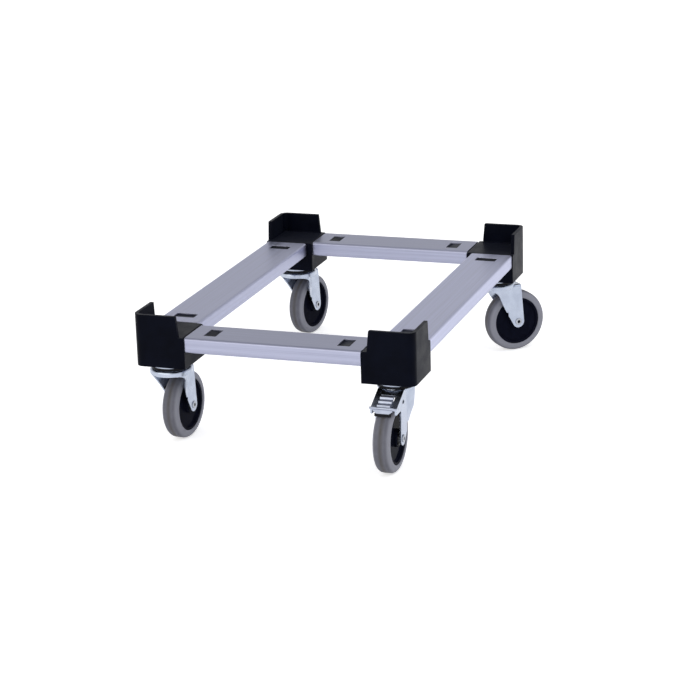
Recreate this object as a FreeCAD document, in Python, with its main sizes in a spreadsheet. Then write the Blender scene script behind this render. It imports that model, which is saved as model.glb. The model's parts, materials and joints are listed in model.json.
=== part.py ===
import FreeCAD, Part
import math
import operator
import os

import Sketcher

# Open wheeled dolly: four black corner mouldings plugged into four aluminium rails,
# standing on four swivel casters, one of them with a foot brake.
# The origin is the middle of the load deck, X runs along the short side, Y along the long side, Z up.

SIZES = {
    "frame_width": 420, "frame_length": 620,
    "block_side": 78, "block_height": 46.4, "block_wall": 4, "deck_thickness": 5,
    "corner_radius": 12, "deck_edge_radius": 4, "block_edge_radius": 5,
    "lip_height": 31, "lip_thickness": 5, "lip_length": 69, "lip_slant": 3,
    "lip_round": 1.5, "lip_root_round": 1.5,
    "boss_radius": 24, "rib_thickness": 3, "rib_rise": 3,
    "rail_width": 68, "rail_height": 22.5, "rail_inset": 1.5, "rail_wall": 2.5,
    "rail_round": 3.5, "rail_inner_round": 1,
    "window_start": 22, "window_length": 19, "window_width": 33, "window_round": 1.5,
    "spigot_length": 52, "spigot_wall": 3, "spigot_gap": 0.2, "spigot_root": 2, "spigot_round": 1.5,
    "catch_gap": 0.8, "catch_drop": 0.7, "catch_slope": 3.2, "tongue_slot": 2, "tongue_length": 34,
    "insert_flats": 19, "insert_length": 20, "insert_cover": 6, "insert_gap": 0.1,
    "stem_radius": 6, "stem_length": 29, "stem_gap": 0.3,
    "plate_radius": 28, "plate_depth": 6, "plate_rim": 2.5, "plate_top": 2.5, "plate_round": 1,
    "ball_radius": 2.5, "ball_circle": 19, "ball_gap": 0.05, "turning_gap": 0.05,
    "crown_radius": 31, "brake_crown_radius": 27.4, "crown_round": 4, "crown_step": 1.6, "crown_depth": 8.5,
    "race_radius": 24.4, "sheet": 2.7, "seal_width": 3, "seal_gap": 0.3,
    "washer_radius": 16, "washer_thickness": 3, "rivet_head_radius": 10, "rivet_head": 3.4,
    "wheel_radius": 50, "tread_width": 25, "shoulder_radius": 8, "tyre_depth": 11.5, "tyre_gap": 0.05,
    "tyre_round": 1, "wheel_room": 27.6, "wheel_side_gap": 1.8, "brake_side_gap": 3.8, "trail": 33,
    "roof_end": 38, "fork_bend": 4, "crease": 15, "leg_end_radius": 10,
    "flare_shoulder": 108, "flare_tip": 140, "flare_round": 12, "flare_foot": 60, "flare_foot_bulge": 0.6,
    "waist_depth": 0.45, "waist_spread": 0.7,
    "leg_lead_along": -11, "leg_lead_below": 0.8, "leg_lead_round": 22, "leg_top_along": -40,
    "brake_lead_along": -17, "brake_lead_below": 12.3, "brake_lead_round": 12, "brake_top_along": -22,
    "rivet_radius": 4, "rivet_bore": 2.6, "axle_head_radius": 5.6, "axle_head": 1.4,
    "sleeve_radius": 6, "bush_radius": 8, "bush_flange": 10, "bush_flange_thickness": 1.2, "bush_length": 10,
    "hub_boss_radius": 13, "hub_boss_proud": 0.1, "hub_rim_inset": 1.5, "hub_rim": 4.5, "hub_dish": 3.5,
    "hub_round": 1, "roof_start_along": 26, "roof_start_below": 0.5, "roof_root_along": 18,
    "roof_tip_along": 62, "roof_tip_rise": 1.4, "roof_sheet": 2.5,
    "wing_drop": 34.5, "notch_along": 46, "notch_round": 5, "brake_leg_along": 39.5,
    "wing_slot_start": 28.3, "wing_slot_end": 31.7, "wing_slot_drop": 25, "wing_slot_half": 2.5,
    "pivot_along": 54, "pivot_gap": 0.55, "pivot_boss": 3.5, "pivot_radius": 1.9,
    "slot_start": 37, "slot_end": 64, "slot_half": 10.5,
    "pedal_start": 40, "pedal_tread": 7.3, "pedal_fall": 0.6, "pedal_riser": 0.7, "pedal_rise": 2.2,
    "pedal_half": 9.5, "pedal_sheet": 2.4, "pedal_round": 0.9,
    "lip_half": 20, "foot_lip_start": 62.3, "foot_lip_end": 65, "foot_lip_edge": 68, "foot_lip_turn": 3,
    "foot_lip_rise": 2, "foot_lip_side": 9, "foot_lip_round": 36,
    "carrier_half": 14, "carrier_waist": 9, "carrier_start": 63, "carrier_sheet": 3, "carrier_lead": 3,
    "shoe_inset": 0.5, "shoe_gap": 2.6, "shoe_thickness": 1.4, "shoe_start": 58.5, "shoe_end": 66,
    "heading_front_left": 86, "heading_front_right": -90, "heading_rear_left": 79, "heading_rear_right": 41,
}
CORNERS = {
    "front_left": (-1, -1, 180), "front_right": (1, -1, 270),
    "rear_left": (-1, 1, 90), "rear_right": (1, 1, 0),
}
BRAKED = "front_right"
BALLS = 12
TREADS = 3
OPERATIONS = {"+": operator.add, "-": operator.sub, "*": operator.mul, "/": operator.truediv}


class Size:
    """A length that knows its number and the formula that the sheet's cells give it."""

    def __init__(self, value, text):
        self.value = value
        self.text = text

    def __add__(self, other):
        return combine(self, "+", other)

    def __radd__(self, other):
        return combine(other, "+", self)

    def __sub__(self, other):
        return combine(self, "-", other)

    def __rsub__(self, other):
        return combine(other, "-", self)

    def __mul__(self, other):
        return combine(self, "*", other)

    def __rmul__(self, other):
        return combine(other, "*", self)

    def __truediv__(self, other):
        return combine(self, "/", other)

    def __neg__(self):
        return combine(-1, "*", self)


def as_size(number):
    if isinstance(number, Size):
        return number
    return Size(float(number), f"({float(number)})")


def combine(left, sign, right):
    left = as_size(left)
    right = as_size(right)
    value = OPERATIONS[sign](left.value, right.value)
    return Size(value, f"({left.text} {sign} {right.text})")


def cosine(angle):
    return Size(math.cos(math.radians(angle.value)), f"cos({angle.text})")


def sine(angle):
    return Size(math.sin(math.radians(angle.value)), f"sin({angle.text})")


def root(area):
    return Size(math.sqrt(area.value), f"sqrt({area.text})")


doc = FreeCAD.newDocument("dolly")
sheet = doc.addObject("Spreadsheet::Sheet", "sizes")
for row, (word, number) in enumerate(SIZES.items(), start=1):
    sheet.set(f"A{row}", word)
    sheet.set(f"B{row}", str(number))
    sheet.setAlias(f"B{row}", word)
doc.recompute()


def size(word):
    return Size(float(SIZES[word]), f"sizes.{word}")


def bind(thing, prop, length):
    thing.setExpression(prop, as_size(length).text)


def vector(x, y):
    return FreeCAD.Vector(as_size(x).value, as_size(y).value, 0)


# Sketch outlines

def hold(sketch, item, end, x, y):
    for kind, length in (("DistanceX", x), ("DistanceY", y)):
        length = as_size(length)
        index = sketch.addConstraint(Sketcher.Constraint(kind, -1, 1, item, end, length.value))
        bind(sketch, f"Constraints[{index}]", length)


def tangent_corner(before, here, after, radius, centred):
    """Return where an arc starts and ends and its middle, for a rounded corner or an arc about a centre."""
    if centred:
        turn = 1 if (here - before).cross(after - here).z > 0 else -1
        ends = []
        for point, side in ((before, -turn), (after, turn)):
            away = here - point
            lean = math.asin(radius / away.Length)
            angle = math.atan2(away.y, away.x) + side * lean
            reach = math.sqrt(away.Length ** 2 - radius ** 2)
            ends.append(point + FreeCAD.Vector(math.cos(angle), math.sin(angle), 0) * reach)
        return ends[0], ends[1], here
    back = (before - here).normalize()
    ahead = (after - here).normalize()
    half = back.getAngle(ahead) / 2
    middle = here + (back + ahead).normalize() * (radius / math.sin(half))
    reach = radius / math.tan(half)
    return here + back * reach, here + ahead * reach, middle


def outline(sketch, corners):
    """Draw a closed outline. Corners are (x, y), rounded (x, y, radius), or (x, y, radius, "about") arcs."""
    count = len(corners)
    points = [vector(corner[0], corner[1]) for corner in corners]
    arcs = {}
    for i, corner in enumerate(corners):
        if len(corner) > 2:
            near = points[i - 1], points[i], points[(i + 1) % count]
            arcs[i] = tangent_corner(*near, as_size(corner[2]).value, len(corner) == 4)
    starts = [arcs[i][1] if i in arcs else points[i] for i in range(count)]
    stops = [arcs[i][0] if i in arcs else points[i] for i in range(count)]
    lines = []
    for i in range(count):
        lines.append(sketch.addGeometry(Part.LineSegment(starts[i], stops[(i + 1) % count])))
    for i, corner in enumerate(corners):
        before, after = lines[i - 1], lines[i]
        if i not in arcs:
            sketch.addConstraint(Sketcher.Constraint("Coincident", before, 2, after, 1))
            hold(sketch, after, 1, corner[0], corner[1])
            continue
        start = arcs[i][0] - arcs[i][2]
        stop = arcs[i][1] - arcs[i][2]
        radius = as_size(corner[2])
        turn = start.cross(stop).z > 0
        angles = [math.atan2(arm.y, arm.x) for arm in ((start, stop) if turn else (stop, start))]
        circle = Part.Circle(arcs[i][2], FreeCAD.Vector(0, 0, 1), radius.value)
        arc = sketch.addGeometry(Part.ArcOfCircle(circle, *angles))
        first, last = (1, 2) if turn else (2, 1)
        sketch.addConstraint(Sketcher.Constraint("Tangent", before, 2, arc, first))
        sketch.addConstraint(Sketcher.Constraint("Tangent", arc, last, after, 1))
        index = sketch.addConstraint(Sketcher.Constraint("Radius", arc, radius.value))
        bind(sketch, f"Constraints[{index}]", radius)
        if len(corner) == 4:
            hold(sketch, arc, 3, corner[0], corner[1])
            continue
        point = sketch.addGeometry(Part.Point(points[i]), True)
        hold(sketch, point, 1, corner[0], corner[1])
        sketch.addConstraint(Sketcher.Constraint("PointOnObject", point, 1, before))
        sketch.addConstraint(Sketcher.Constraint("PointOnObject", point, 1, after))


def circle(sketch, x, y, radius):
    radius = as_size(radius)
    ring = sketch.addGeometry(Part.Circle(vector(x, y), FreeCAD.Vector(0, 0, 1), radius.value))
    hold(sketch, ring, 3, x, y)
    index = sketch.addConstraint(Sketcher.Constraint("Radius", ring, radius.value))
    bind(sketch, f"Constraints[{index}]", radius)


def rectangle(sketch, x_low, y_low, x_high, y_high, radius=None):
    corners = [(x_low, y_low), (x_high, y_low), (x_high, y_high), (x_low, y_high)]
    if radius is not None:
        corners = [(*corner, radius) for corner in corners]
    outline(sketch, corners)


# Bodies and features

def new_body(name):
    body = doc.addObject("PartDesign::Body", name)
    body.Label = name
    return body


def new_sketch(body, plane, offset=0):
    """Add a sketch to a body on one of its own planes, moved along that plane's normal."""
    sketch = body.newObject("Sketcher::SketchObject", body.Name + "_sketch")
    support = next(item for item in body.Origin.OriginFeatures if item.Role == plane)
    sketch.AttachmentSupport = [(support, "")]
    sketch.MapMode = "FlatFace"
    bind(sketch, ".AttachmentOffset.Base.z", offset)
    return sketch


def feature(body, kind, sketch, length, reverse=False, midplane=False):
    made = body.newObject("PartDesign::" + kind, body.Name + "_" + kind.lower())
    made.Profile = sketch
    bind(made, "Length", length)
    made.Reversed = reverse
    made.SideType = "Symmetric" if midplane else "One side"
    doc.recompute()
    return made


def revolve(name, plane, corners):
    """Turn one outline about the upright axis of its plane."""
    body = new_body(name)
    sketch = new_sketch(body, plane)
    outline(sketch, corners)
    turned = body.newObject("PartDesign::Revolution", name + "_turned")
    turned.Profile = sketch
    turned.ReferenceAxis = (sketch, ["V_Axis"])
    turned.Angle = 360
    doc.recompute()
    return body


def round_edges(body, radius, *points):
    """Round the edges of the body's last feature that pass through the given points."""
    base = body.Tip
    spots = [Part.Vertex(*(as_size(number).value for number in point)) for point in points]
    names = []
    for index, edge in enumerate(base.Shape.Edges, start=1):
        if any(edge.distToShape(spot)[0] < 0.01 for spot in spots):
            names.append(f"Edge{index}")
    fillet = body.newObject("PartDesign::Fillet", body.Name + "_round")
    fillet.Base = (base, names)
    bind(fillet, "Radius", radius)
    doc.recompute()


def place(thing, x, y, z, turn):
    """Set a piece at its place, turned about the upright axis."""
    turn = as_size(turn)
    axis = FreeCAD.Vector(0, 0, 1)
    thing.Placement = FreeCAD.Placement(FreeCAD.Vector(0, 0, 0), FreeCAD.Rotation(axis, turn.value))
    bind(thing, ".Placement.Base.x", x)
    bind(thing, ".Placement.Base.y", y)
    bind(thing, ".Placement.Base.z", z)
    bind(thing, ".Placement.Rotation.Angle", turn)


# Free solids for the pieces that are put together from several shapes

def free_sketch(name, plane, offset=0):
    sketch = doc.addObject("Sketcher::SketchObject", name)
    turns = {
        "XY": FreeCAD.Rotation(),
        "XZ": FreeCAD.Rotation(FreeCAD.Vector(1, 0, 0), 90),
        "YZ": FreeCAD.Rotation(FreeCAD.Vector(1, 1, 1), 120),
    }
    sketch.Placement = FreeCAD.Placement(FreeCAD.Vector(0, 0, 0), turns[plane])
    bind(sketch, ".Placement.Base.z", offset)
    return sketch


def side_plate(name, corners, half_width, plane="XZ"):
    """Draw an outline, from the side unless a plane is named, and thicken it evenly both ways."""
    sketch = free_sketch(name + "_outline", plane)
    outline(sketch, corners)
    plate = doc.addObject("Part::Extrusion", name)
    plate.Base = sketch
    plate.DirMode = "Normal"
    plate.Solid = True
    plate.Symmetric = True
    bind(plate, "LengthFwd", half_width * 2)
    return plate


def cross_pin(name, along, height, radius, half_length):
    """Make a round bar that lies across the caster."""
    pin = doc.addObject("Part::Cylinder", name)
    pin.Placement = FreeCAD.Placement(FreeCAD.Vector(0, 0, 0), FreeCAD.Rotation(FreeCAD.Vector(1, 0, 0), 90))
    bind(pin, "Radius", radius)
    bind(pin, "Height", half_length * 2)
    bind(pin, ".Placement.Base.x", along)
    bind(pin, ".Placement.Base.y", half_length)
    bind(pin, ".Placement.Base.z", height)
    return pin


def join(name, kind, shapes):
    made = doc.addObject("Part::" + kind, name)
    made.Shapes = shapes
    made.Refine = True
    return made


def cut(name, base, tool):
    made = doc.addObject("Part::Cut", name)
    made.Base = base
    made.Tool = tool
    made.Refine = True
    return made


# Sizes that several pieces share

half_block = size("block_side") / 2
rail_middle = half_block - size("rail_inset") - size("rail_width") / 2
spigot_half = size("rail_width") / 2 - size("rail_wall") - size("spigot_gap")
spigot_top = -size("rail_wall") - size("spigot_gap")
spigot_foot = -size("rail_height") + size("rail_wall") + size("spigot_gap")
half_tread = size("tread_width") / 2
axle_drop = size("wheel_room") + size("wheel_radius")
caster_height = axle_drop + size("wheel_radius")
fork_half = half_tread + size("wheel_side_gap") + size("sheet")
brake_fork_half = half_tread + size("brake_side_gap") + size("sheet")
hub_half = half_tread + size("hub_boss_proud")
ball_drop = size("plate_top") + size("ball_gap") + size("ball_radius")
race_drop = ball_drop + size("ball_radius") + size("ball_gap")
shoulder_drop = race_drop + size("crown_step")
crown_foot = shoulder_drop + size("crown_depth")
roof_drop = crown_foot - size("sheet")
crown_inside = race_drop + size("sheet")
washer_drop = crown_inside + size("turning_gap")
rivet_drop = washer_drop + size("washer_thickness")
turning_bore = size("stem_radius") + size("turning_gap")
hub_radius = size("wheel_radius") - size("tyre_depth")
insert_low = -size("block_height") + size("insert_cover")
insert_high = insert_low + size("insert_length")


def above_tyre(along, gap):
    """Drop below the block of a point that clears the tyre by a gap, at a distance from the swivel axis."""
    reach = size("wheel_radius") + gap
    behind = along - size("trail")
    return axle_drop - root(reach * reach - behind * behind)


pivot_drop = above_tyre(size("pivot_along"), size("pivot_boss") + size("pivot_gap"))
shoe_middle = (size("shoe_start") + size("shoe_end")) / 2
shoe_seat_drop = above_tyre(shoe_middle, size("shoe_gap")) - size("shoe_thickness")


def corner_moulding(name):
    """Moulded corner: block with deck and lips, hollow and ribbed below, with a snap spigot for each rail."""
    body = new_body(name)
    faces = (("XZ_Plane", -1, False), ("YZ_Plane", 1, True))
    block = new_sketch(body, "XY_Plane")
    rectangle(block, -half_block, -half_block, half_block, half_block)
    feature(body, "Pad", block, size("block_height"), reverse=True)
    lip_end = half_block - size("lip_length")
    for plane, side, reverse in faces:
        lip = new_sketch(body, plane, side * half_block)
        outline(lip, [
            (half_block, 0),
            (half_block, size("lip_height")),
            (lip_end + size("lip_slant"), size("lip_height"), size("lip_round")),
            (lip_end, 0),
        ])
        feature(body, "Pad", lip, size("lip_thickness"), reverse=reverse)
    lip_inside = half_block - size("lip_thickness")
    middle = size("lip_height") / 2
    round_edges(body, size("corner_radius"), (half_block, half_block, 0))
    round_edges(body, size("corner_radius") - size("lip_thickness"), (lip_inside, lip_inside, middle))
    low = -size("block_height") / 2
    round_edges(body, size("block_edge_radius"), (-half_block, -half_block, low))
    round_edges(body, size("deck_edge_radius"), (-half_block, 0, 0))
    round_edges(body, size("lip_root_round"), (0, lip_inside, 0))

    hollow = new_sketch(body, "XY_Plane", -size("block_height"))
    inside = half_block - size("block_wall")
    rectangle(hollow, -inside, -inside, inside, inside, size("corner_radius") - size("block_wall"))
    depth = size("block_height") - size("deck_thickness")
    feature(body, "Pocket", hollow, depth, reverse=True)
    ribs = new_sketch(body, "XY_Plane", -size("deck_thickness"))
    rib_half = size("rib_thickness") / 2
    rib_start = size("boss_radius") - size("rib_thickness")
    rib_stop = inside + size("block_wall") / 2
    for side in (-1, 1):
        ends = sorted((side * rib_start, side * rib_stop), key=lambda length: length.value)
        rectangle(ribs, ends[0], -rib_half, ends[1], rib_half)
        rectangle(ribs, -rib_half, ends[0], rib_half, ends[1])
    boss_hole = size("stem_radius") + size("stem_gap")
    levels = (
        (-size("block_height"), size("insert_cover")),
        (insert_high, -size("deck_thickness") - insert_high),
    )
    for start, length in levels:
        boss = new_sketch(body, "XY_Plane", start)
        circle(boss, 0, 0, size("boss_radius"))
        circle(boss, 0, 0, boss_hole)
        feature(body, "Pad", boss, length)
    feature(body, "Pad", ribs, depth - size("rib_rise"), reverse=True)
    core = new_sketch(body, "XY_Plane", insert_low)
    circle(core, 0, 0, size("boss_radius"))
    hexagon(core, size("insert_flats") / 2 + size("insert_gap"))
    feature(body, "Pad", core, size("insert_length"))

    for plane, side, reverse in faces[::-1]:
        spigot = new_sketch(body, plane, -side * (half_block - size("spigot_root")))
        across = rail_middle - spigot_half, rail_middle + spigot_half
        wall = size("spigot_wall")
        rectangle(spigot, across[0], spigot_foot, across[1], spigot_top, size("spigot_round"))
        rectangle(spigot, across[0] + wall, spigot_foot + wall, across[1] - wall, spigot_top - wall)
        feature(body, "Pad", spigot, size("spigot_length") + size("spigot_root"), reverse=reverse)
    near = -half_block - size("window_start") - size("catch_gap")
    far = -half_block - size("window_start") - size("window_length") + size("catch_gap")
    tip = -half_block - size("spigot_length")
    for plane, side, reverse in faces:
        catch = new_sketch(body, plane, side * rail_middle)
        outline(catch, [
            (near, spigot_top - size("spigot_wall") / 2),
            (near, -size("catch_drop")),
            (far, -size("catch_slope")),
            (far, spigot_top - size("spigot_wall") / 2),
        ])
        catch_width = size("window_width") - size("catch_gap") * 2
        feature(body, "Pad", catch, catch_width, midplane=True)
    slots = new_sketch(body, "XY_Plane")
    slot = size("tongue_slot")
    slot_near = size("window_width") / 2 + slot
    slot_end = tip + size("tongue_length")
    for side in (-1, 1):
        edges = sorted((side * slot_near, side * (slot_near + slot)), key=lambda length: length.value)
        low_edge = rail_middle + edges[0]
        high_edge = rail_middle + edges[1]
        rectangle(slots, tip - slot, low_edge, slot_end, high_edge)
        rectangle(slots, low_edge, tip - slot, high_edge, slot_end)
    feature(body, "Pocket", slots, size("spigot_wall") + slot - spigot_top)
    return body


def hexagon(sketch, half_flats):
    """Draw a regular hexagon about the origin."""
    reach = half_flats * (1 / math.cos(math.radians(30)))
    corners = []
    for step in range(6):
        angle = math.radians(60 * step)
        corners.append((reach * math.cos(angle), reach * math.sin(angle)))
    outline(sketch, corners)


def rail(name, length):
    """Extruded tube with a snap window near each end of its top face."""
    body = new_body(name)
    profile = new_sketch(body, "YZ_Plane")
    half = size("rail_width") / 2
    wall = size("rail_wall")
    foot = -size("rail_height")
    rectangle(profile, -half, foot, half, 0, size("rail_round"))
    rectangle(profile, -half + wall, foot + wall, half - wall, -wall, size("rail_inner_round"))
    feature(body, "Pad", profile, length, midplane=True)
    windows = new_sketch(body, "XY_Plane")
    start = length / 2 - size("window_start")
    stop = start - size("window_length")
    across = size("window_width") / 2
    rectangle(windows, stop, -across, start, across, size("window_round"))
    rectangle(windows, -start, -across, -stop, across, size("window_round"))
    feature(body, "Pocket", windows, wall * 2)
    return body


def stem_inserts():
    """Hexagonal threaded inserts moulded into the four corners."""
    inserts = []
    for corner, (x_side, y_side, turn) in CORNERS.items():
        body = new_body("insert_" + corner)
        sketch = new_sketch(body, "XY_Plane", insert_low)
        hexagon(sketch, size("insert_flats") / 2)
        circle(sketch, 0, 0, turning_bore)
        feature(body, "Pad", sketch, size("insert_length") - size("insert_gap"))
        place(body, *swivel_point(x_side, y_side), 0, turn)
        inserts.append(body)
    group = doc.addObject("Part::Compound", "stem_inserts")
    group.Links = inserts
    return group


def swivel_point(x_side, y_side):
    x = x_side * (size("frame_width") / 2 - half_block)
    y = y_side * (size("frame_length") / 2 - half_block)
    return x, y


# Swivel head, from the corner block's underside down

def king_pin(name):
    radius = size("stem_radius")
    head = size("rivet_head_radius")
    foot = -rivet_drop - size("rivet_head")
    return revolve(name, "XZ_Plane", [
        (0, size("stem_length")), (radius, size("stem_length")), (radius, -rivet_drop),
        (head, -rivet_drop), (head, foot, size("plate_round")), (0, foot),
    ])


def race_plate(name):
    outer = size("plate_radius")
    inner = outer - size("plate_rim")
    foot = -size("plate_depth")
    return revolve(name, "XZ_Plane", [
        (turning_bore, 0), (outer, 0, size("plate_round")), (outer, foot, size("plate_round")),
        (inner, foot), (inner, -size("plate_top")), (turning_bore, -size("plate_top")),
    ])


def dust_seal(name):
    inner = size("race_radius") + size("turning_gap")
    top = -size("plate_depth") - size("seal_gap")
    return revolve(name, "XZ_Plane", [
        (inner, top), (inner + size("seal_width"), top), (inner + size("seal_width"), -shoulder_drop),
        (inner, -shoulder_drop),
    ])


def retaining_washer(name):
    foot = -rivet_drop
    return revolve(name, "XZ_Plane", [
        (turning_bore, -washer_drop), (size("washer_radius"), -washer_drop), (size("washer_radius"), foot),
        (turning_bore, foot),
    ])


def swivel_balls(name):
    balls = []
    for step in range(BALLS):
        angle = math.radians(360 * step / BALLS)
        ball = doc.addObject("Part::Sphere", f"{name}_ball_{step}")
        bind(ball, "Radius", size("ball_radius"))
        bind(ball, ".Placement.Base.x", size("ball_circle") * math.cos(angle))
        bind(ball, ".Placement.Base.y", size("ball_circle") * math.sin(angle))
        bind(ball, ".Placement.Base.z", -ball_drop)
        balls.append(ball)
    group = doc.addObject("Part::Compound", name)
    group.Links = balls
    return group


# Forks

def crown(name, radius):
    """Pressed dome of the fork, with the lower ball track on its top."""
    sheet_inside = radius - size("sheet")
    race = size("race_radius")
    shoulder_inside = -shoulder_drop - size("sheet")
    return revolve(name, "XZ_Plane", [
        (turning_bore, -race_drop), (race, -race_drop), (race, -shoulder_drop),
        (radius, -shoulder_drop, size("crown_round")), (radius, -crown_foot), (sheet_inside, -crown_foot),
        (sheet_inside, shoulder_inside, size("crown_round") - size("sheet")),
        (race - size("sheet"), shoulder_inside), (race - size("sheet"), -crown_inside),
        (turning_bore, -crown_inside),
    ])


def flat_crown(name, radius):
    """Flat head of the braked fork, with the lower ball track pressed up in its middle."""
    race = size("race_radius")
    foot = -shoulder_drop - size("sheet")
    return revolve(name, "XZ_Plane", [
        (turning_bore, -race_drop), (race, -race_drop), (race, -shoulder_drop),
        (radius, -shoulder_drop, size("plate_round")), (radius, foot),
        (race - size("sheet"), foot), (race - size("sheet"), -crown_inside), (turning_bore, -crown_inside),
    ])


def flare(name, half, radius, top_drop):
    """Front part of a fork leg, bulged outwards from the crease to the rim of the crown."""
    crease = size("crease")
    inner = half - size("sheet")
    inner_radius = radius - size("sheet")
    shoulder = size("flare_shoulder")
    tip = size("flare_tip")
    bulge = size("flare_foot_bulge")
    fall = size("flare_foot") - top_drop
    levels = (
        ("top", top_drop, 1),
        ("waist", top_drop + fall * size("waist_depth"), size("waist_spread")),
        ("foot", size("flare_foot"), 0),
    )
    sections = []
    for word, drop, spread in levels:
        section = free_sketch(f"{name}_{word}", "XY", -drop)
        rest = 1 - as_size(spread)
        shoulder_out = radius * sine(shoulder) * spread + (half + bulge) * rest
        shoulder_in = inner_radius * sine(shoulder) * spread + (inner + bulge) * rest
        outline(section, [
            (crease, inner), (crease, half),
            (radius * cosine(shoulder), shoulder_out, size("flare_round")),
            (radius * cosine(tip), radius * sine(tip) * spread + half * rest),
            (inner_radius * cosine(tip), inner_radius * sine(tip) * spread + inner * rest),
            (inner_radius * cosine(shoulder), shoulder_in, size("flare_round") - size("sheet")),
        ])
        sections.append(section)
    loft = doc.addObject("Part::Loft", name)
    loft.Sections = sections
    loft.Solid = True
    loft.Ruled = False
    mirror = doc.addObject("Part::Mirroring", name + "_mirror")
    mirror.Source = loft
    mirror.Normal = FreeCAD.Vector(0, 1, 0)
    return [loft, mirror]


def leg_corners(kind, top_drop):
    """Round end and leading edge of a fork's leg, from the axle up to the crown."""
    lead_drop = crown_foot + size(kind + "_lead_below")
    return [
        (size("trail"), -axle_drop, size("leg_end_radius"), "about"),
        (size(kind + "_lead_along"), -lead_drop, size(kind + "_lead_round")),
        (size(kind + "_top_along"), -crown_foot),
        (size(kind + "_top_along"), -top_drop),
    ]


def channel(name, half):
    """Roof and flat legs of a fork, bent from one sheet."""
    body = new_body(name)
    sketch = new_sketch(body, "YZ_Plane", size("crease"))
    inner = half - size("sheet")
    foot = -caster_height
    bend = size("fork_bend")
    roof = -roof_drop
    outline(sketch, [
        (-half, foot), (-half, roof, bend), (half, roof, bend), (half, foot), (inner, foot),
        (inner, roof - size("sheet"), bend - size("sheet")),
        (-inner, roof - size("sheet"), bend - size("sheet")), (-inner, foot),
    ])
    feature(body, "Pad", sketch, size("trail"))
    return body


def axle_bore(name):
    radius = size("rivet_radius") + size("turning_gap")
    return cross_pin(name, size("trail"), -axle_drop, radius, size("wheel_radius"))


def plain_fork(name):
    half = fork_half
    top = crown(name + "_crown", size("crown_radius"))
    sides = flare(name + "_flare", half, size("crown_radius"), roof_drop)
    blank = join(name + "_blank", "MultiFuse", [channel(name + "_channel", half)] + sides)
    corners = [(size("roof_end"), -roof_drop)] + leg_corners("leg", roof_drop)
    side = side_plate(name + "_side", corners, size("crown_radius"))
    legs = join(name + "_legs", "MultiCommon", [blank, side])
    whole = join(name + "_whole", "MultiFuse", [top, legs])
    return cut(name, whole, axle_bore(name + "_bore"))


def roof_height(along):
    """Height of the braked fork's sloped roof at a distance from the swivel axis."""
    start_drop = shoulder_drop + size("roof_start_below")
    fall = pivot_drop - size("roof_tip_rise") - start_drop
    run = size("roof_tip_along") - size("roof_start_along")
    return -start_drop - (along - size("roof_start_along")) * fall / run


def braked_fork(name):
    """Fork with trailing wings under a sloped roof, which carry the pedal."""
    half = brake_fork_half
    inner = half - size("sheet")
    radius = size("brake_crown_radius")
    head_drop = shoulder_drop + size("sheet") / 2
    top = flat_crown(name + "_crown", radius)
    start = size("roof_start_along")
    tip = size("roof_tip_along")
    side_corners = [
        (size("brake_top_along"), -head_drop),
        (start, roof_height(start)), (tip, roof_height(tip)), (tip, -size("wing_drop")),
        (size("notch_along"), -size("wing_drop")),
        (size("brake_leg_along"), -size("wing_drop"), size("notch_round")),
    ]
    side = side_plate(name + "_side", side_corners + leg_corners("brake", head_drop)[:-1], half)
    inside = side_plate(name + "_inside", [
        (size("crease"), 0), (tip * 2, 0), (tip * 2, -caster_height), (size("crease"), -caster_height),
    ], inner)
    walls = cut(name + "_walls", side, inside)
    front = doc.addObject("Part::Box", name + "_front")
    bind(front, "Length", size("crease") + size("wheel_radius"))
    bind(front, "Width", half * 4)
    bind(front, "Height", caster_height)
    bind(front, ".Placement.Base.x", -size("wheel_radius"))
    bind(front, ".Placement.Base.y", -half * 2)
    bind(front, ".Placement.Base.z", -caster_height)
    plates = cut(name + "_plates", walls, front)
    wide_corners = [(size("crease"), -head_drop)] + leg_corners("brake", head_drop)
    wide_side = side_plate(name + "_front_side", wide_corners, size("crown_radius"))
    flares = join(name + "_flares", "MultiFuse", flare(name + "_flare", half, radius, head_drop))
    front_legs = join(name + "_front_legs", "MultiCommon", [flares, wide_side])
    rear = size("roof_root_along")
    roof = side_plate(name + "_roof", [
        (rear, roof_height(start)), (start, roof_height(start)), (tip, roof_height(tip)),
        (tip, roof_height(tip) - size("roof_sheet")), (start, roof_height(start) - size("roof_sheet")),
        (rear, roof_height(start) - size("roof_sheet")),
    ], half)
    window = side_plate(name + "_window", [
        (size("slot_start"), 0), (size("slot_end"), 0),
        (size("slot_end"), -size("wing_drop")), (size("slot_start"), -size("wing_drop")),
    ], size("slot_half"))
    pin_radius = size("pivot_radius") + size("turning_gap")
    openings = [
        axle_bore(name + "_bore"),
        cross_pin(name + "_pin_bore", size("pivot_along"), -pivot_drop, pin_radius, half * 2),
    ]
    slot_half = size("wing_slot_half")
    slot_height = -size("wing_slot_drop")
    slot_ends = (size("wing_slot_start"), "near"), (size("wing_slot_end"), "far")
    for along, word in slot_ends:
        openings.append(cross_pin(f"{name}_slot_{word}", along, slot_height, slot_half, half * 2))
    openings.append(side_plate(name + "_slot_middle", [
        (size("wing_slot_start"), slot_height - slot_half), (size("wing_slot_end"), slot_height - slot_half),
        (size("wing_slot_end"), slot_height + slot_half), (size("wing_slot_start"), slot_height + slot_half),
    ], half * 2))
    holed_roof = cut(name + "_holed_roof", roof, window)
    whole = join(name + "_whole", "MultiFuse", [top, plates, front_legs, holed_roof])
    return cut(name, whole, join(name + "_openings", "MultiFuse", openings))


# Brake

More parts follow.
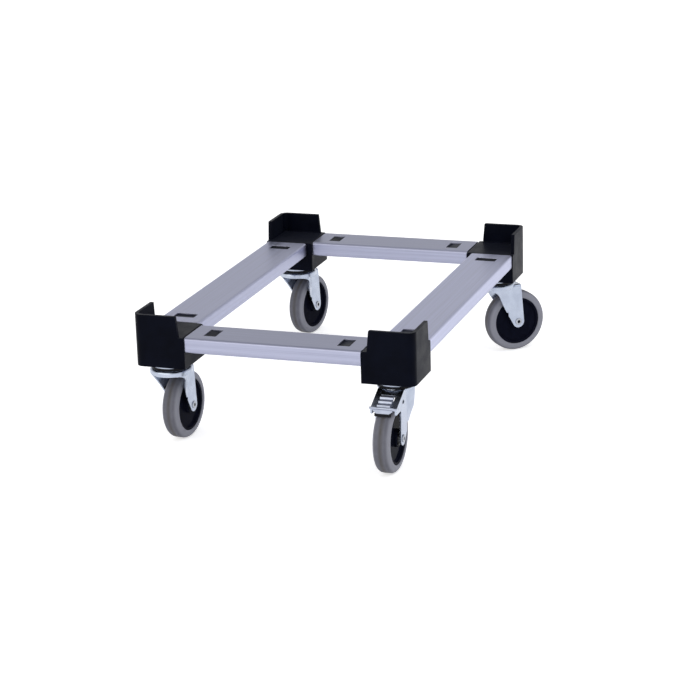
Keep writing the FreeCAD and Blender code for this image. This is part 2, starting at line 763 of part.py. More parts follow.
def brake_pedal(name):
    """Stepped foot pedal with a wide bowed lip, hung on the pin between the fork's wings."""
    thick = size("pedal_sheet")
    start = size("pedal_start")
    tread = size("pedal_tread")
    edge = size("foot_lip_edge")
    half = size("pedal_half")
    wide = size("lip_half")

    def tread_height(along):
        return roof_height(along) + size("pedal_rise")

    lip_root = start + tread * TREADS
    lip_height = tread_height(lip_root)
    lip_turn = edge - size("foot_lip_turn")
    lip_top = lip_height + size("foot_lip_rise")
    tops = []
    for step in range(TREADS):
        near = start + tread * step
        tops.append((near, tread_height(near)))
        tops.append((near + tread - size("pedal_riser"), tread_height(near) - size("pedal_fall")))
    profile = tops + [
        (lip_root, lip_height), (lip_turn, lip_height), (edge, lip_top, size("pedal_round")),
        (edge + thick / 2, lip_top - thick, size("pedal_round")), (lip_turn + thick / 2, lip_height - thick),
        (lip_root - thick, lip_height - thick), (start, tread_height(start) - thick),
    ]
    bow = edge + thick / 2
    lip_side = size("foot_lip_side")
    plan = [
        (start - thick, -half), (size("foot_lip_start"), -half), (size("foot_lip_start"), -wide),
        (size("foot_lip_end"), -wide, size("pedal_round")), (bow, -lip_side, size("foot_lip_round")),
        (bow, lip_side, size("foot_lip_round")), (size("foot_lip_end"), wide, size("pedal_round")),
        (size("foot_lip_start"), wide), (size("foot_lip_start"), half), (start - thick, half),
    ]
    blank = side_plate(name + "_profile", profile, wide)
    shape = side_plate(name + "_plan", plan, caster_height, "XY")
    plate = join(name + "_plate", "MultiCommon", [blank, shape])
    web_end = start + tread
    web = side_plate(name + "_web", [
        (start + thick, tread_height(start) - thick / 2), (web_end, tread_height(web_end) - thick / 2),
        (size("pivot_along"), -pivot_drop + size("pivot_boss")),
        (size("pivot_along") - size("pivot_boss"), -pivot_drop),
    ], size("carrier_waist"))
    carrier_top = lip_height - thick / 2
    carrier_stop = size("carrier_start") + size("carrier_sheet")
    carrier_blank = side_plate(name + "_carrier_blank", [
        (size("carrier_start"), carrier_top), (carrier_stop, carrier_top),
        (size("shoe_end"), -shoe_seat_drop), (size("shoe_start") + size("carrier_lead"), -shoe_seat_drop),
    ], size("carrier_half"))
    waist = size("carrier_waist")
    chamfer_top = (carrier_top - shoe_seat_drop) / 2
    carrier_front = side_plate(name + "_carrier_front", [
        (-waist, -shoe_seat_drop), (waist, -shoe_seat_drop), (size("carrier_half"), chamfer_top),
        (size("carrier_half"), carrier_top), (-size("carrier_half"), carrier_top),
        (-size("carrier_half"), chamfer_top),
    ], caster_height, "YZ")
    carrier = join(name + "_carrier", "MultiCommon", [carrier_blank, carrier_front])
    boss = cross_pin(name + "_boss", size("pivot_along"), -pivot_drop, size("pivot_boss"), half)
    bore = cross_pin(
        name + "_bore", size("pivot_along"), -pivot_drop, size("pivot_radius") + size("turning_gap"), wide)
    whole = join(name + "_whole", "MultiFuse", [plate, web, carrier, boss])
    return cut(name, whole, bore)


def pedal_pin(name):
    """Pin through the fork's wings that the pedal turns on."""
    bar = cross_pin(name + "_bar", size("pivot_along"), -pivot_drop, size("pivot_radius"), brake_fork_half)
    group = doc.addObject("Part::Compound", name)
    group.Links = [bar]
    return group


def brake_shoe(name):
    """Pad under the pedal, hollowed to the curve of the tyre."""
    block = side_plate(name + "_block", [
        (size("shoe_start"), -shoe_seat_drop), (size("shoe_end"), -shoe_seat_drop),
        (size("shoe_end"), -axle_drop), (size("shoe_start"), -axle_drop),
    ], half_tread - size("shoe_inset"))
    reach = size("wheel_radius") + size("shoe_gap")
    tread = cross_pin(name + "_tread", size("trail"), -axle_drop, reach, size("wheel_radius"))
    return cut(name, block, tread)


# Wheels, about their own axle

def axle_rivet(name, half):
    """Hollow rivet through the fork, spread over both legs."""
    radius = size("rivet_radius")
    head = size("axle_head_radius")
    tip = half + size("axle_head")
    bore = size("rivet_bore")
    return revolve(name, "XY_Plane", [
        (bore, -tip), (head, -tip, size("axle_head") / 2), (head, -half), (radius, -half),
        (radius, half), (head, half), (head, tip, size("axle_head") / 2), (bore, tip),
    ])


def axle_sleeve(name, half):
    inner = size("rivet_radius") + size("turning_gap")
    end = half - size("sheet") - size("turning_gap")
    return revolve(name, "XY_Plane", [
        (inner, -end), (size("sleeve_radius"), -end), (size("sleeve_radius"), end), (inner, end),
    ])


def hub_bushes(name):
    """Flanged bushes pressed into both ends of the hub."""
    inner = size("sleeve_radius") + size("turning_gap")
    outer = size("bush_radius")
    flange = size("bush_flange")
    tip = hub_half + size("bush_flange_thickness")
    tail = hub_half - size("bush_length")
    bushes = []
    for side, word in ((-1, "left"), (1, "right")):
        bush = revolve(f"{name}_{word}", "XY_Plane", [
            (inner, side * tip), (flange, side * tip), (flange, side * hub_half), (outer, side * hub_half),
            (outer, side * tail), (inner, side * tail),
        ])
        bushes.append(bush)
    group = doc.addObject("Part::Compound", name)
    group.Links = bushes
    return group


def hub(name):
    """Moulded wheel centre: boss, dished web and the rim that carries the tyre."""
    bore = size("bush_radius") + size("tyre_gap")
    boss = size("hub_boss_radius")
    face = hub_half
    rim = half_tread - size("hub_rim_inset")
    ring = hub_radius - size("hub_rim")
    web = rim - size("hub_dish")
    soft = size("hub_round")
    return revolve(name, "XY_Plane", [
        (bore, -face), (boss, -face, soft), (boss, -web, soft), (ring, -web, soft), (ring + soft, -rim),
        (hub_radius, -rim), (hub_radius, rim), (ring + soft, rim), (ring, web, soft), (boss, web, soft),
        (boss, face, soft), (bore, face),
    ])


def tyre(name):
    inner = hub_radius + size("tyre_gap")
    outer = size("wheel_radius")
    bead = size("tyre_round")
    shoulder = size("shoulder_radius")
    return revolve(name, "XY_Plane", [
        (inner, -half_tread, bead), (outer, -half_tread, shoulder), (outer, half_tread, shoulder),
        (inner, half_tread, bead),
    ])


# Assembly

pieces = []
for corner, (x_side, y_side, turn) in CORNERS.items():
    moulding = corner_moulding("corner_" + corner)
    place(moulding, *swivel_point(x_side, y_side), 0, turn)
    pieces.append(moulding)

across = size("frame_width") - size("block_side") * 2
along = size("frame_length") - size("block_side") * 2
rail_x = size("frame_width") / 2 - half_block + rail_middle
rail_y = size("frame_length") / 2 - half_block + rail_middle
for word, length, x, y, turn in (
    ("front", across, 0, -rail_y, 0), ("rear", across, 0, rail_y, 0),
    ("left", along, -rail_x, 0, 90), ("right", along, rail_x, 0, 90),
):
    bar = rail(word + "_rail", length)
    place(bar, x, y, 0, turn)
    pieces.append(bar)
pieces.append(stem_inserts())

for corner, (x_side, y_side, turn) in CORNERS.items():
    heading = size("heading_" + corner)
    x, y = swivel_point(x_side, y_side)
    braked = corner == BRAKED
    half = brake_fork_half if braked else fork_half
    head = [king_pin("king_pin_" + corner), race_plate("race_plate_" + corner)]
    head += [swivel_balls("swivel_balls_" + corner), dust_seal("dust_seal_" + corner)]
    head.append(retaining_washer("retaining_washer_" + corner))
    if braked:
        head.append(braked_fork("fork_" + corner))
        head += [brake_pedal("brake_pedal"), brake_shoe("brake_shoe"), pedal_pin("pedal_pin")]
    else:
        head.append(plain_fork("fork_" + corner))
    for piece in head:
        place(piece, x, y, -size("block_height"), heading)
        pieces.append(piece)
    wheel = [axle_rivet("axle_rivet_" + corner, half), axle_sleeve("axle_sleeve_" + corner, half)]
    wheel += [hub_bushes("hub_bushes_" + corner), hub("hub_" + corner), tyre("tyre_" + corner)]
    axle_x = x + size("trail") * cosine(heading)
    axle_y = y + size("trail") * sine(heading)
    for piece in wheel:
        place(piece, axle_x, axle_y, -size("block_height") - axle_drop, heading)
        pieces.append(piece)

doc.recompute()
for thing in doc.Objects:
    if "Invalid" in thing.State or "Error" in thing.State:
        raise RuntimeError(f"{thing.Name} failed: {thing.State}")
for piece in pieces:
    if piece.Shape.isNull() or not piece.Shape.isValid() or not piece.Shape.Solids:
        raise RuntimeError(f"{piece.Label} has no sound solid")

os.makedirs("parts", exist_ok=True)
for piece in pieces:
    piece.Shape.exportStep(f"parts/{piece.Label}.step")
    volume = sum(solid.Volume for solid in piece.Shape.Solids)
    print(f"{piece.Label}: {len(piece.Shape.Solids)} solids, {volume / 1000:.2f} cm3")
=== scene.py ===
# %% [markdown]
# A wheeled dolly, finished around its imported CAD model.
#
# The CAD model already holds every piece at its real size: corner mouldings, rails, casters and the
# brake. This lesson gives each surface its finish, sets a small studio around the object and places
# the camera. All lengths are metres, and Z is up. The top of the load deck is at zero.

# %% Load the frame
import json
import math

import bpy
from mathutils import Matrix, Vector

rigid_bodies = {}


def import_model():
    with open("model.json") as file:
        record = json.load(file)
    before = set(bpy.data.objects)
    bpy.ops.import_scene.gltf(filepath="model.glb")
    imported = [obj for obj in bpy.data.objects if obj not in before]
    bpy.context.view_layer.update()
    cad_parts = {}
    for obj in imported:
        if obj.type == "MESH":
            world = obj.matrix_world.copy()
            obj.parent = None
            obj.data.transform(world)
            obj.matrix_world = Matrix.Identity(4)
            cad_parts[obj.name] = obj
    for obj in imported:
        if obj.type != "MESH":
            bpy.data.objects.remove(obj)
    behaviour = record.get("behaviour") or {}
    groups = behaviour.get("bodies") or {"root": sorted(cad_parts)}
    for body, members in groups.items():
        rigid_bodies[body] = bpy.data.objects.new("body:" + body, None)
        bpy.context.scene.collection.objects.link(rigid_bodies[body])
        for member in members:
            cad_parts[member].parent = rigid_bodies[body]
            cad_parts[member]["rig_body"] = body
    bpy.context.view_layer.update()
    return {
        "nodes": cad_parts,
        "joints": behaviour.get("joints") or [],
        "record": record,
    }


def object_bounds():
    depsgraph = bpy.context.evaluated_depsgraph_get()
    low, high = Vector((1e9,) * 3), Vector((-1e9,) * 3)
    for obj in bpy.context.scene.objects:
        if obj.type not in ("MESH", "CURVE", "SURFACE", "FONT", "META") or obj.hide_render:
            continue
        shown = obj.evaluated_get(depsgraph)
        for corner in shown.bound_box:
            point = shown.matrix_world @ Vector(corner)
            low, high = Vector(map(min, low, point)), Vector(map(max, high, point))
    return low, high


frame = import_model()

# %% [markdown]
# The camera comes first, because every later choice is judged through it. The dolly was
# photographed with a long lens from a low three-quarter view. A camera could be placed by eye, but
# then shapes and camera would be tuned against each other. So the focal length, the angles and the
# distance were fitted to the corners of the frame, and the picture lines up with the real
# proportions. The aim is a point a little below the deck, because the wheels hang under it.

# %% Camera
PICTURE_PIXELS = 680
SENSOR_WIDTH = 36.0
FOCAL_PIXELS = 2151.1
TURN = math.radians(19.25)
TILT = math.radians(17.15)
ROLL = math.radians(-1.735)
DISTANCE = 3.2917
AIM_RIGHT = -0.0050
AIM_UP = -0.0822


def photo_camera():
    """Make the camera from its turn, tilt, roll, distance and aim."""
    flat = math.cos(TILT)
    ahead = Vector((-math.sin(TURN) * flat, math.cos(TURN) * flat, -math.sin(TILT)))
    level = Vector((math.cos(TURN), math.sin(TURN), 0))
    over = level.cross(ahead)
    right = level * math.cos(ROLL) + over * math.sin(ROLL)
    up = over * math.cos(ROLL) - level * math.sin(ROLL)
    place = level * AIM_RIGHT + over * AIM_UP - ahead * DISTANCE
    lens = bpy.data.cameras.new("photo_lens")
    lens.sensor_width = SENSOR_WIDTH
    lens.lens = FOCAL_PIXELS / PICTURE_PIXELS * SENSOR_WIDTH
    camera = bpy.data.objects.new("photo_camera", lens)
    turned = Matrix((right, up, -ahead)).transposed().to_4x4()
    camera.matrix_world = Matrix.Translation(place) @ turned
    bpy.context.scene.collection.objects.link(camera)
    return camera


bpy.context.scene.camera = photo_camera()
print("lens:", round(bpy.context.scene.camera.data.lens, 1), "mm")

# %% [markdown]
# A finish is a small network of nodes around one shader. A few helpers keep the networks short to
# read: one starts a material, one adds a node with its settings, one joins an output to an input,
# and one does arithmetic. A level that is the same all over a surface is set on the shader itself,
# with no node, so that it survives an export to other programs. The world has a network too, so the
# helpers take any owner of one.

# %% Node helpers
finishes = {}


def start_finish(name):
    """Start a material, and return it with its shader."""
    material = bpy.data.materials.new(name)
    material.use_nodes = True
    return material, material.node_tree.nodes["Principled BSDF"]


def add(owner, kind, **settings):
    """Add a node. A setting names an attribute or, with spaces as underscores, an input."""
    made = owner.node_tree.nodes.new(kind)
    for word, value in settings.items():
        if hasattr(made, word):
            setattr(made, word, value)
        else:
            made.inputs[word.replace("_", " ")].default_value = value
    return made


def wire(owner, source, target):
    owner.node_tree.links.new(source, target)


def combine(owner, operation, first, second):
    """Join two outputs, or an output and a number, by one step of arithmetic."""
    step = add(owner, "ShaderNodeMath", operation=operation)
    for socket, value in zip(step.inputs, (first, second)):
        if isinstance(value, (int, float)):
            socket.default_value = value
        else:
            wire(owner, value, socket)
    return step.outputs["Value"]


def fix(shader, **levels):
    """Set sockets that are the same all over the surface. Underscores stand for spaces."""
    for word, level in levels.items():
        shader.inputs[word.replace("_", " ")].default_value = level


def keep(slot, material):
    """File a finish under the slot that it is for."""
    finishes[slot] = material
    print(slot, "nodes:", len(material.node_tree.nodes))


print("node helpers ready")

# %% [markdown]
# Real surfaces vary a little everywhere. Painted pictures could show that, but they need unwrapped
# surfaces and blur when the camera comes near. Noise in the object's own coordinates needs neither,
# and its specks keep their real size on every piece: a scale of 1000 makes them about a millimetre
# across. The same noise can drive a colour, a roughness or the height of a very shallow bump.

# %% Variation helpers
# The mix node has sockets for each type of data. These are the ones for colours.
MIX_FACTOR = 0
MIX_UNDER = 6
MIX_OVER = 7
MIX_RESULT = 2


def speckle(material, scale, detail=4.0, stretch=(1, 1, 1)):
    """Noise in the object's coordinates, stretched along an axis for grain."""
    place = add(material, "ShaderNodeTexCoord")
    turn = add(material, "ShaderNodeMapping", Scale=stretch)
    noise = add(material, "ShaderNodeTexNoise", Scale=scale, Detail=detail)
    wire(material, place.outputs["Object"], turn.inputs["Vector"])
    wire(material, turn.outputs["Vector"], noise.inputs["Vector"])
    return noise.outputs["Fac"]


def blend_colours(material, driver, low, high, start=0.35, stop=0.65):
    """Blend from one colour to another as the driver rises."""
    ramp = add(material, "ShaderNodeValToRGB")
    first, last = ramp.color_ramp.elements
    first.position, last.position = start, stop
    first.color, last.color = (*low, 1), (*high, 1)
    wire(material, driver, ramp.inputs["Fac"])
    return ramp.outputs["Color"]


def lay_over(material, mask, under, colour):
    """Lay a plain colour over another one where the mask is high."""
    mix = add(material, "ShaderNodeMix", data_type="RGBA")
    mix.inputs[MIX_OVER].default_value = (*colour, 1)
    wire(material, mask, mix.inputs[MIX_FACTOR])
    wire(material, under, mix.inputs[MIX_UNDER])
    return mix.outputs[MIX_RESULT]


def spread(material, driver, low, high, start=0.3, stop=0.7):
    """Map a driver smoothly onto a range of roughness or another value."""
    span = add(material, "ShaderNodeMapRange", interpolation_type="SMOOTHSTEP", From_Min=start,
               From_Max=stop, To_Min=low, To_Max=high)
    wire(material, driver, span.inputs["Value"])
    return span.outputs["Result"]


def scaled(colour, factor):
    return tuple(part * factor for part in colour)


print("variation helpers ready")

# %% [markdown]
# No moulded or pressed edge is perfectly sharp, and edges are where a piece is rubbed and knocked
# first. Rounding them in the mesh would change the CAD shapes, so the bevel node rounds only their
# shading. Comparing its direction with the plain one shows where the edges are, and a patchy noise
# over that gives wear that comes and goes along them. On the rails the same mask also carries a
# painted highlight along the rounded edges. Grain is raised on top of the softened direction.

# %% Edges and bumps
EDGE_SAMPLES = 4
WORN_LIKENESS = 0.86
PLAIN_LIKENESS = 0.99
PATCH_SCALE = 180
LEAST_WEAR = 0.25


def soften(material, radius):
    """Return the direction of the surface, with edges rounded to this radius."""
    bevel = add(material, "ShaderNodeBevel", samples=EDGE_SAMPLES, Radius=radius)
    return bevel.outputs["Normal"]


def edge_wear_and_highlight(material, soft):
    """Return a mask that is high along edges, where the softened direction leaves the plain one: worn
    edges, and on the rails a painted highlight.
    """
    plain = add(material, "ShaderNodeNewGeometry")
    likeness = add(material, "ShaderNodeVectorMath", operation="DOT_PRODUCT")
    wire(material, soft, likeness.inputs[0])
    wire(material, plain.outputs["Normal"], likeness.inputs[1])
    edge = spread(material, likeness.outputs["Value"], 1.0, 0.0, WORN_LIKENESS, PLAIN_LIKENESS)
    patches = spread(material, speckle(material, PATCH_SCALE), LEAST_WEAR, 1.0)
    return combine(material, "MULTIPLY", edge, patches)


def raise_grain(material, shader, driver, height, direction):
    """Turn a driver into a shallow bump on top of a direction."""
    bump = add(material, "ShaderNodeBump", Strength=1.0, Distance=height)
    wire(material, driver, bump.inputs["Height"])
    wire(material, direction, bump.inputs["Normal"])
    wire(material, bump.outputs["Normal"], shader.inputs["Normal"])


print("edge helpers ready")

# %% [markdown]
# The corners are moulded in black plastic with a fine spark-eroded texture. Face on they are almost
# black, and they turn grey where light grazes them. A single gloss would be too bright face on, so
# the specular level is low, and a thin bluish sheen adds the grey at the grazing angles. The
# texture is a noise about half a millimetre across. A slower noise lets colour and gloss drift, as
# handling does, and the rims of the lips are rubbed a little paler.

# %% Corner plastic
CORNER_DARK = (0.001, 0.0016, 0.005)
CORNER_LIGHT = (0.002, 0.003, 0.0084)
CORNER_RUBBED = (0.011, 0.012, 0.022)
CORNER_ROUGHNESS = (0.32, 0.44)
CORNER_EDGE = 0.0008
HANDLING_SCALE = 40
SPARK_SCALE = 1800
SPARK_HEIGHT = 0.00004
SHEEN_BLUE = (0.7, 0.76, 1.0, 1)


def corner_plastic():
    material, shader = start_finish("corner_plastic")
    handling = speckle(material, HANDLING_SCALE)
    soft = soften(material, CORNER_EDGE)
    colour = blend_colours(material, handling, CORNER_DARK, CORNER_LIGHT)
    rubbed = lay_over(material, edge_wear_and_highlight(material, soft), colour, CORNER_RUBBED)
    wire(material, rubbed, shader.inputs["Base Color"])
    wire(material, spread(material, handling, *CORNER_ROUGHNESS), shader.inputs["Roughness"])
    fix(shader, Specular_IOR_Level=0.035)
    fix(shader, Sheen_Weight=0.06, Sheen_Roughness=0.35, Sheen_Tint=SHEEN_BLUE)
    raise_grain(material, shader, speckle(material, SPARK_SCALE), SPARK_HEIGHT, soft)
    return material


keep("corner_plastic", corner_plastic())

# %% [markdown]
# The rails are extruded aluminium with a satin anodised skin. The die leaves hair-fine lines along
# the length and a few broader bands. An anisotropic shader could stretch the highlights, but the
# lines themselves would be missing, so one noise is stretched hard along the rail and a second one
# is stretched and wide. Together they drive the colour, the roughness and a very shallow bump. The
# corners of the section are painted brighter, partly as brushed wear and partly as a painted
# highlight along the rounded edges. Short and long rails run along different axes, so each rail has
# its own copy of the finish, with the axis of its grain. Each copy also has its own painted
# brightness, painted light and shade for how that rail catches the light: the long rails lighter
# than the short ones, and the right rail lightest.

# %% Rail aluminium
RAIL_DARK = (0.292, 0.304, 0.408)
RAIL_LIGHT = (0.395, 0.411, 0.54)
RAIL_BRUSHED_AND_HIGHLIGHT = (0.56, 0.575, 0.68)
RAIL_ROUGHNESS = (0.36, 0.46)
RAIL_EDGE = 0.0012
LINE_STRETCH = 0.004
LINE_SCALE = 1500
LINE_SHARE = 0.4
LINE_HEIGHT = 0.000012
BAND_SCALE = 190
BAND_SHARE = 0.6
ALONG_X = 0
ALONG_Y = 1


def rail_aluminium(name, axis, painted_brightness):
    material, shader = start_finish(name)
    stretch = [1.0, 1.0, 1.0]
    stretch[axis] = LINE_STRETCH
    lines = speckle(material, LINE_SCALE, detail=3.0, stretch=stretch)
    bands = speckle(material, BAND_SCALE, detail=3.0, stretch=stretch)
    fine = combine(material, "MULTIPLY", lines, LINE_SHARE)
    broad = combine(material, "MULTIPLY", bands, BAND_SHARE)
    both = combine(material, "ADD", fine, broad)
    soft = soften(material, RAIL_EDGE)
    # Both colours are scaled by the rail's painted brightness, painted light and shade for how it catches
    # the light.
    colour = blend_colours(material, both, scaled(RAIL_DARK, painted_brightness), scaled(RAIL_LIGHT, painted_brightness))
    # The edges are painted brighter: brushed wear, and a painted highlight along the rounded corners.
    brushed_and_highlight = lay_over(material, edge_wear_and_highlight(material, soft), colour, RAIL_BRUSHED_AND_HIGHLIGHT)
    wire(material, brushed_and_highlight, shader.inputs["Base Color"])
    wire(material, spread(material, bands, *RAIL_ROUGHNESS), shader.inputs["Roughness"])
    fix(shader, Metallic=1.0)
    raise_grain(material, shader, lines, LINE_HEIGHT, soft)
    return material


# The last number is painted brightness: long rails painted lighter than short ones, the right rail
# lightest.
rail_finishes = {
    "front_rail": rail_aluminium("front_rail_skin", ALONG_X, painted_brightness=1.0),
    "rear_rail": rail_aluminium("rear_rail_skin", ALONG_X, painted_brightness=1.0),
    "left_rail": rail_aluminium("left_rail_skin", ALONG_Y, painted_brightness=1.2),
    "right_rail": rail_aluminium("right_rail_skin", ALONG_Y, painted_brightness=1.34),
}
print("rail finishes:", len(rail_finishes))

# %% [markdown]
# Forks, race plates and pedal are pressed steel with a bright zinc coat, which has a cold blue
# cast. Plating is never even. Plain grey metal would look like a drawing, so slow patches of
# roughness and a little colour drift break it up, and a very fine orange peel disturbs its
# reflections. Cut edges of the sheet are brighter. The pedal is duller from use, and the turned
# pins and the polished balls are kinds of the same finish.

# %% Zinc-plated and turned steel
SHEET_EDGE = 0.0007
CUT_EDGE_GAIN = 1.2
CLOUD_SCALE = 70
PEEL_SCALE = 2200
PEEL_HEIGHT = 0.000003


def plated_steel(name, low, high, smooth, dull):
    material, shader = start_finish(name)
    clouds = speckle(material, CLOUD_SCALE, detail=5.0)
    soft = soften(material, SHEET_EDGE)
    colour = blend_colours(material, clouds, low, high)
    cut_edges = lay_over(material, edge_wear_and_highlight(material, soft), colour, scaled(high, CUT_EDGE_GAIN))
    wire(material, cut_edges, shader.inputs["Base Color"])
    wire(material, spread(material, clouds, smooth, dull), shader.inputs["Roughness"])
    fix(shader, Metallic=1.0)
    raise_grain(material, shader, speckle(material, PEEL_SCALE, detail=2.0), PEEL_HEIGHT, soft)
    return material


keep("zinc_steel", plated_steel(
    "zinc_steel", low=(0.37, 0.41, 0.505), high=(0.445, 0.49, 0.585), smooth=0.18, dull=0.28))
keep("pedal_steel", plated_steel(
    "pedal_steel", low=(0.34, 0.37, 0.46), high=(0.45, 0.485, 0.58), smooth=0.34, dull=0.46))
keep("turned_steel", plated_steel(
    "turned_steel", low=(0.36, 0.38, 0.42), high=(0.46, 0.48, 0.53), smooth=0.25, dull=0.4))
keep("ball_steel", plated_steel(
    "ball_steel", low=(0.6, 0.6, 0.62), high=(0.66, 0.66, 0.68), smooth=0.08, dull=0.14))

# %% [markdown]
# The wheel centres are moulded in smooth black plastic with a navy cast, and shine more than the
# corners. Seals, shoe and bushes are duller. One recipe serves them all, because only colour and
# gloss differ: a slow drift of both, paler rubbed edges and almost no grain.

# %% Black plastics
MOULDED_EDGE = 0.0006
DRIFT_SCALE = 90
DRIFT_DARKER = 0.7
DRIFT_SMOOTHER = 0.85
DRIFT_ROUGHER = 1.15
RUBBED_GAIN = 3
MOULD_SCALE = 1400
MOULD_HEIGHT = 0.000004


def black_plastic(name, colour, rough, shine):
    material, shader = start_finish(name)
    drift = speckle(material, DRIFT_SCALE)
    soft = soften(material, MOULDED_EDGE)
    plain = blend_colours(material, drift, scaled(colour, DRIFT_DARKER), colour)
    rubbed = lay_over(material, edge_wear_and_highlight(material, soft), plain, scaled(colour, RUBBED_GAIN))
    roughness = spread(material, drift, rough * DRIFT_SMOOTHER, rough * DRIFT_ROUGHER)
    wire(material, rubbed, shader.inputs["Base Color"])
    wire(material, roughness, shader.inputs["Roughness"])
    fix(shader, Specular_IOR_Level=shine)
    raise_grain(material, shader, speckle(material, MOULD_SCALE), MOULD_HEIGHT, soft)
    return material


keep("hub_plastic", black_plastic("hub_plastic", (0.007, 0.008, 0.017), rough=0.12, shine=0.006))
keep("seal_plastic", black_plastic("seal_plastic", (0.004, 0.004, 0.006), rough=0.5, shine=0.15))
keep("bush_plastic", black_plastic("bush_plastic", (0.008, 0.008, 0.011), rough=0.4, shine=0.2))

# %% [markdown]
# The tyres are non-marking grey rubber. A soft brown band of floor dirt runs round the middle of
# the tread, and faint streaks run round beside it, as rolling leaves them. The flanks are painted
# paler and bluer, partly as clean rubber and partly as a painted highlight on the rounded
# shoulders. All three depend on the distance from the wheel's middle plane. Unwrapping the tyre
# would give it too, but a dot product with the axle's direction is simpler, so each wheel has its
# own copy of the finish.

# %% Tyre rubber
RUBBER_DARK = (0.108, 0.11, 0.138)
RUBBER_LIGHT = (0.15, 0.153, 0.186)
RUBBER_ROUGHNESS = (0.5, 0.66)
RUBBER_EDGE = 0.0006
RUBBER_SCALE = 2200
RUBBER_HEIGHT = 0.00002
DIRT_BROWN = (0.066, 0.058, 0.047)
DIRT_STRENGTH = 0.75
DIRT_LEAST = 0.6
BAND_HALF = 0.0048
FLANK_GREY_AND_HIGHLIGHT = (0.32, 0.325, 0.375)
FLANK_STRENGTH = 0.8
FLANK_START = 0.0072
FLANK_END = 0.0118
STREAK_SCALE = 900
STREAK_SHARE = 0.4
SMEAR_SCALE = 110
SMEAR_SHARE = 0.6


def distance_along_axle(material, middle, axle):
    """Return how far a point lies from the wheel's middle plane, with its sign."""
    place = add(material, "ShaderNodeTexCoord")
    across = add(material, "ShaderNodeVectorMath", operation="SUBTRACT")
    across.inputs[1].default_value = middle
    wire(material, place.outputs["Object"], across.inputs[0])
    offset = add(material, "ShaderNodeVectorMath", operation="DOT_PRODUCT")
    offset.inputs[1].default_value = axle
    wire(material, across.outputs["Vector"], offset.inputs[0])
    return offset.outputs["Value"]


def rolling_marks(material, offset, smear):
    """Mix streaks that run round the tyre with a patchy smear."""
    streaks = add(material, "ShaderNodeTexNoise", noise_dimensions="1D", Scale=STREAK_SCALE, Detail=3.0)
    wire(material, offset, streaks.inputs["W"])
    lined = combine(material, "MULTIPLY", streaks.outputs["Fac"], STREAK_SHARE)
    smeared = combine(material, "MULTIPLY", smear, SMEAR_SHARE)
    return combine(material, "ADD", lined, smeared)


def tyre_rubber(name, middle, axle):
    material, shader = start_finish(name)
    offset = distance_along_axle(material, middle, axle)
    size = add(material, "ShaderNodeMath", operation="ABSOLUTE")
    wire(material, offset, size.inputs[0])
    distance = size.outputs["Value"]
    smear = speckle(material, SMEAR_SCALE, detail=5.0)
    marks = rolling_marks(material, offset, smear)
    rubber = blend_colours(material, marks, RUBBER_DARK, RUBBER_LIGHT)
    band = spread(material, distance, DIRT_STRENGTH, 0.0, 0.0, BAND_HALF)
    patchy_band = combine(material, "MULTIPLY", band, spread(material, smear, DIRT_LEAST, 1.0))
    tread = lay_over(material, patchy_band, rubber, DIRT_BROWN)
    # Flanks and shoulders are painted paler and bluer: clean rubber, and a painted highlight on the
    # shoulders.
    flank_and_highlight = spread(material, distance, 0.0, FLANK_STRENGTH, FLANK_START, FLANK_END)
    wire(material, lay_over(material, flank_and_highlight, tread, FLANK_GREY_AND_HIGHLIGHT), shader.inputs["Base Color"])
    wire(material, spread(material, marks, *RUBBER_ROUGHNESS), shader.inputs["Roughness"])
    fix(shader, Specular_IOR_Level=0.25)
    grain = speckle(material, RUBBER_SCALE, detail=3.0)
    raise_grain(material, shader, grain, RUBBER_HEIGHT, soften(material, RUBBER_EDGE))
    return material


print("tyre rubber ready")

# %% [markdown]
# Every node of the CAD model now takes the finish of its material slot. The shapes are right
# already, so no mesh is replaced. Rails take the copy with their own grain, and tyres take a finish
# built from the axle of the joint that turns them, which the frame gives.

# %% Dress the CAD nodes
def dress(node, material):
    mesh = frame["nodes"][node].data
    mesh.materials.clear()
    mesh.materials.append(material)


axles = {joint["child"]: joint for joint in frame["joints"] if joint["name"].startswith("roll_")}
for part in frame["record"]["subparts"]:
    node, slot = part["node"], part["material_slot"]
    if slot == "rail_aluminium":
        dress(node, rail_finishes[node])
    elif slot == "tyre_rubber":
        joint = axles[frame["nodes"][node]["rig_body"]]
        dress(node, tyre_rubber(node + "_rubber", joint["pos_m"], joint["axis"]))
    else:
        dress(node, finishes[slot])

# %% [markdown]
# The studio is a white floor under a white surround. A stronger lamp would make the background
# white too, but it would bleach the object. So camera, glossy and transmission rays see the
# surround white, and the metal has it to reflect, while a lower value lights the object itself.
# Overhead the surround fades to a greyer ceiling, which level metal faces mirror, so that they come
# out darker than upright ones. The same test of the ray is needed for the world and for the floor,
# so it is a helper that works on either.

# %% White surround
WHITE = (1, 1, 1, 1)
AMBIENT = 0.6
CEILING = 0.55
FADE_START = 0.1
FADE_END = 0.55


def seen_directly(owner):
    """Return one for rays that look at a surface, and zero for rays that gather its light."""
    path = add(owner, "ShaderNodeLightPath")
    seen = path.outputs["Is Camera Ray"]
    for word in ("Is Glossy Ray", "Is Transmission Ray"):
        seen = combine(owner, "MAXIMUM", seen, path.outputs[word])
    return seen


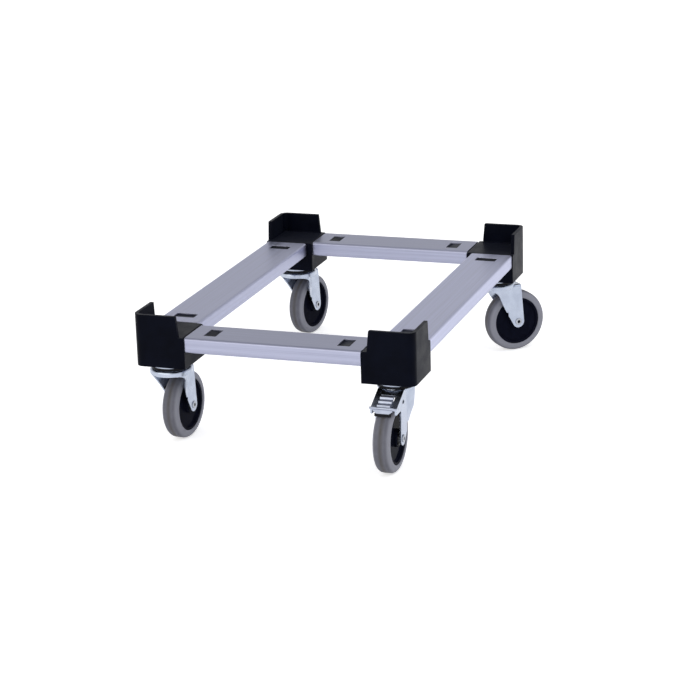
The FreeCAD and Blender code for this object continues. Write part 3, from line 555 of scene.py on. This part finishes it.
def white_surround():
    world = bpy.data.worlds.new("studio")
    world.use_nodes = True
    heading = add(world, "ShaderNodeTexCoord")
    parts = add(world, "ShaderNodeSeparateXYZ")
    wire(world, heading.outputs["Generated"], parts.inputs["Vector"])
    fade = add(world, "ShaderNodeMapRange", From_Min=FADE_START, From_Max=FADE_END,
               To_Min=1.0, To_Max=CEILING)
    wire(world, parts.outputs["Z"], fade.inputs["Value"])
    level = add(world, "ShaderNodeMapRange", To_Min=AMBIENT)
    wire(world, seen_directly(world), level.inputs["Value"])
    wire(world, fade.outputs["Result"], level.inputs["To Max"])
    backdrop = world.node_tree.nodes["Background"]
    backdrop.inputs["Color"].default_value = WHITE
    wire(world, level.outputs["Result"], backdrop.inputs["Strength"])
    bpy.context.scene.world = world
    print("surround nodes:", len(world.node_tree.nodes))


white_surround()

# %% [markdown]
# The floor is a pale matte sheet. On its own it would look light grey under this plain light, so it
# also glows a little for the rays that look at it. The light that the wheels keep off it is still
# missing there, so it keeps the soft shadow that stands the dolly on the ground.

# %% Floor
FLOOR_REACH = 12.0
FLOOR_PALE = (0.86, 0.86, 0.86, 1)
FLOOR_GLOW = 0.57


def pale_floor():
    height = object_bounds()[0][2]
    near, far = -FLOOR_REACH, FLOOR_REACH
    mesh = bpy.data.meshes.new("floor")
    corners = [(near, near, height), (far, near, height), (far, far, height), (near, far, height)]
    mesh.from_pydata(corners, [], [(0, 1, 2, 3)])
    floor = bpy.data.objects.new("floor", mesh)
    bpy.context.scene.collection.objects.link(floor)
    material, shader = start_finish("floor_white")
    fix(shader, Base_Color=FLOOR_PALE, Roughness=0.9, Emission_Color=WHITE)
    glow = combine(material, "MULTIPLY", seen_directly(material), FLOOR_GLOW)
    wire(material, glow, shader.inputs["Emission Strength"])
    mesh.materials.append(material)
    print("floor height:", round(height, 4))


pale_floor()

# %% [markdown]
# Three broad soft lamps shape the dolly. The largest stands in front, slightly warm, so upright
# faces come out lighter than level ones. A cooler one stands high on the right, and a weak one
# hangs overhead. Small strong lamps would light it too, but seen from the far side the rails would
# mirror them and burn out to white. Large dim ones keep every side within range.

# %% Lamps
def soft_lamp(name, place, target, size, watts, colour):
    lamp = bpy.data.lights.new(name, "AREA")
    lamp.shape = "RECTANGLE"
    lamp.size, lamp.size_y = size
    lamp.energy = watts
    lamp.color = colour
    made = bpy.data.objects.new(name, lamp)
    made.location = place
    aim = Vector(target) - Vector(place)
    made.rotation_euler = aim.to_track_quat("-Z", "Y").to_euler()
    bpy.context.scene.collection.objects.link(made)
    print(name, "lamp:", watts, "W")


soft_lamp("front", place=(-1.2, -3.2, 1.3), target=(0, 0, -0.08), size=(4.6, 2.6), watts=50,
          colour=(1, 0.97, 0.9))
soft_lamp("right", place=(2.2, -0.6, 2.2), target=(0, 0, -0.06), size=(3.0, 2.4), watts=20,
          colour=(0.84, 0.88, 1))
soft_lamp("overhead", place=(0.2, 0.3, 2.6), target=(0, 0, 0), size=(2.4, 2.4), watts=5, colour=(1, 1, 1))
bpy.context.scene.view_settings.view_transform = "Standard"
